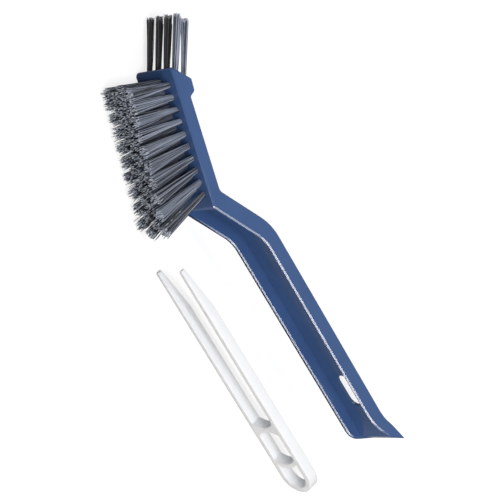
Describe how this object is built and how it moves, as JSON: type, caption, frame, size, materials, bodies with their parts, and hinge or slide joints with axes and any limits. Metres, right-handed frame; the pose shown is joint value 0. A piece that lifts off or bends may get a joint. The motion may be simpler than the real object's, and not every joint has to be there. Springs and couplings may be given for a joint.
{
  "type": "crevice brush with tweezers",
  "caption": "Narrow cleaning brush with bristle tufts on its face and slanted tip, an offset channel handle with hanging slot and scraper end, and tweezers that stow in the handle.",
  "frame": {"origin": "middle of the far side wall's outer face at the bend between handle and neck", "axes": "+X along the handle to the scraper, -Y to the bristle side, +Z across the width, up from the side that it lies on"},
  "size_m": [0.2269, 0.0678, 0.0268],
  "materials": {
    "body_plastic": "moulded polypropylene, semi-gloss",
    "side_bristle": "nylon filament",
    "tip_bristle": "nylon filament",
    "tweezer_plastic": "moulded polypropylene, satin",
    "anchor_metal": "drawn wire plate"
  },
  "bodies": {
    "brush": {"brush_body": "body_plastic", "side_anchors": "anchor_metal", "tip_anchors": "anchor_metal", "side_tuft_a_1": "side_bristle", "side_tuft_a_2": "side_bristle", "side_tuft_a_3": "side_bristle", "side_tuft_a_4": "side_bristle", "side_tuft_a_5": "side_bristle", "side_tuft_a_6": "side_bristle", "side_tuft_a_7": "side_bristle", "side_tuft_a_8": "side_bristle", "side_tuft_a_9": "side_bristle", "side_tuft_a_10": "side_bristle", "side_tuft_b_1": "side_bristle", "side_tuft_b_2": "side_bristle", "side_tuft_b_3": "side_bristle", "side_tuft_b_4": "side_bristle", "side_tuft_b_5": "side_bristle", "side_tuft_b_6": "side_bristle", "side_tuft_b_7": "side_bristle", "side_tuft_b_8": "side_bristle", "side_tuft_b_9": "side_bristle", "side_tuft_b_10": "side_bristle", "side_tuft_c_1": "side_bristle", "side_tuft_c_2": "side_bristle", "side_tuft_c_3": "side_bristle", "side_tuft_c_4": "side_bristle", "side_tuft_c_5": "side_bristle", "side_tuft_c_6": "side_bristle", "side_tuft_c_7": "side_bristle", "side_tuft_c_8": "side_bristle", "side_tuft_c_9": "side_bristle", "side_tuft_c_10": "side_bristle", "side_tuft_d_1": "side_bristle", "side_tuft_d_2": "side_bristle", "side_tuft_d_3": "side_bristle", "side_tuft_d_4": "side_bristle", "side_tuft_d_5": "side_bristle", "side_tuft_d_6": "side_bristle", "side_tuft_d_7": "side_bristle", "side_tuft_d_8": "side_bristle", "side_tuft_d_9": "side_bristle", "side_tuft_d_10": "side_bristle", "tip_tuft_a_1": "tip_bristle", "tip_tuft_a_2": "tip_bristle", "tip_tuft_a_3": "tip_bristle", "tip_tuft_a_4": "tip_bristle", "tip_tuft_b_1": "tip_bristle", "tip_tuft_b_2": "tip_bristle", "tip_tuft_b_3": "tip_bristle", "tip_tuft_b_4": "tip_bristle"},
    "tweezers": {"tweezer_hub": "tweezer_plastic"},
    "lower_leg": {"tweezer_leg_lower": "tweezer_plastic"},
    "upper_leg": {"tweezer_leg_upper": "tweezer_plastic"}
  },
  "joints": [
    {"name": "tweezers_slide", "type": "slide", "parent": "brush", "child": "tweezers", "axis": [0.1181, 0.9917, 0.0508], "range_m": [0, 0.04235]},
    {"name": "legs_pinch", "type": "hinge", "parent": "tweezers", "child": "lower_leg", "pos_m": [0.07175, -0.04345, 0.0012], "axis": [0, 1, 0], "range_deg": [0, 4.8], "stiffness_Nm_per_rad": 0.5},
    {"name": "upper_leg_pinch", "type": "hinge", "parent": "tweezers", "child": "upper_leg", "pos_m": [0.07175, -0.04345, 0.0178], "axis": [0, 1, 0], "range_deg": [-4.8, 0], "stiffness_Nm_per_rad": 0.5}
  ],
  "couplings": [
    {"joint": "upper_leg_pinch", "follows": "legs_pinch", "ratio": -1}
  ]
}
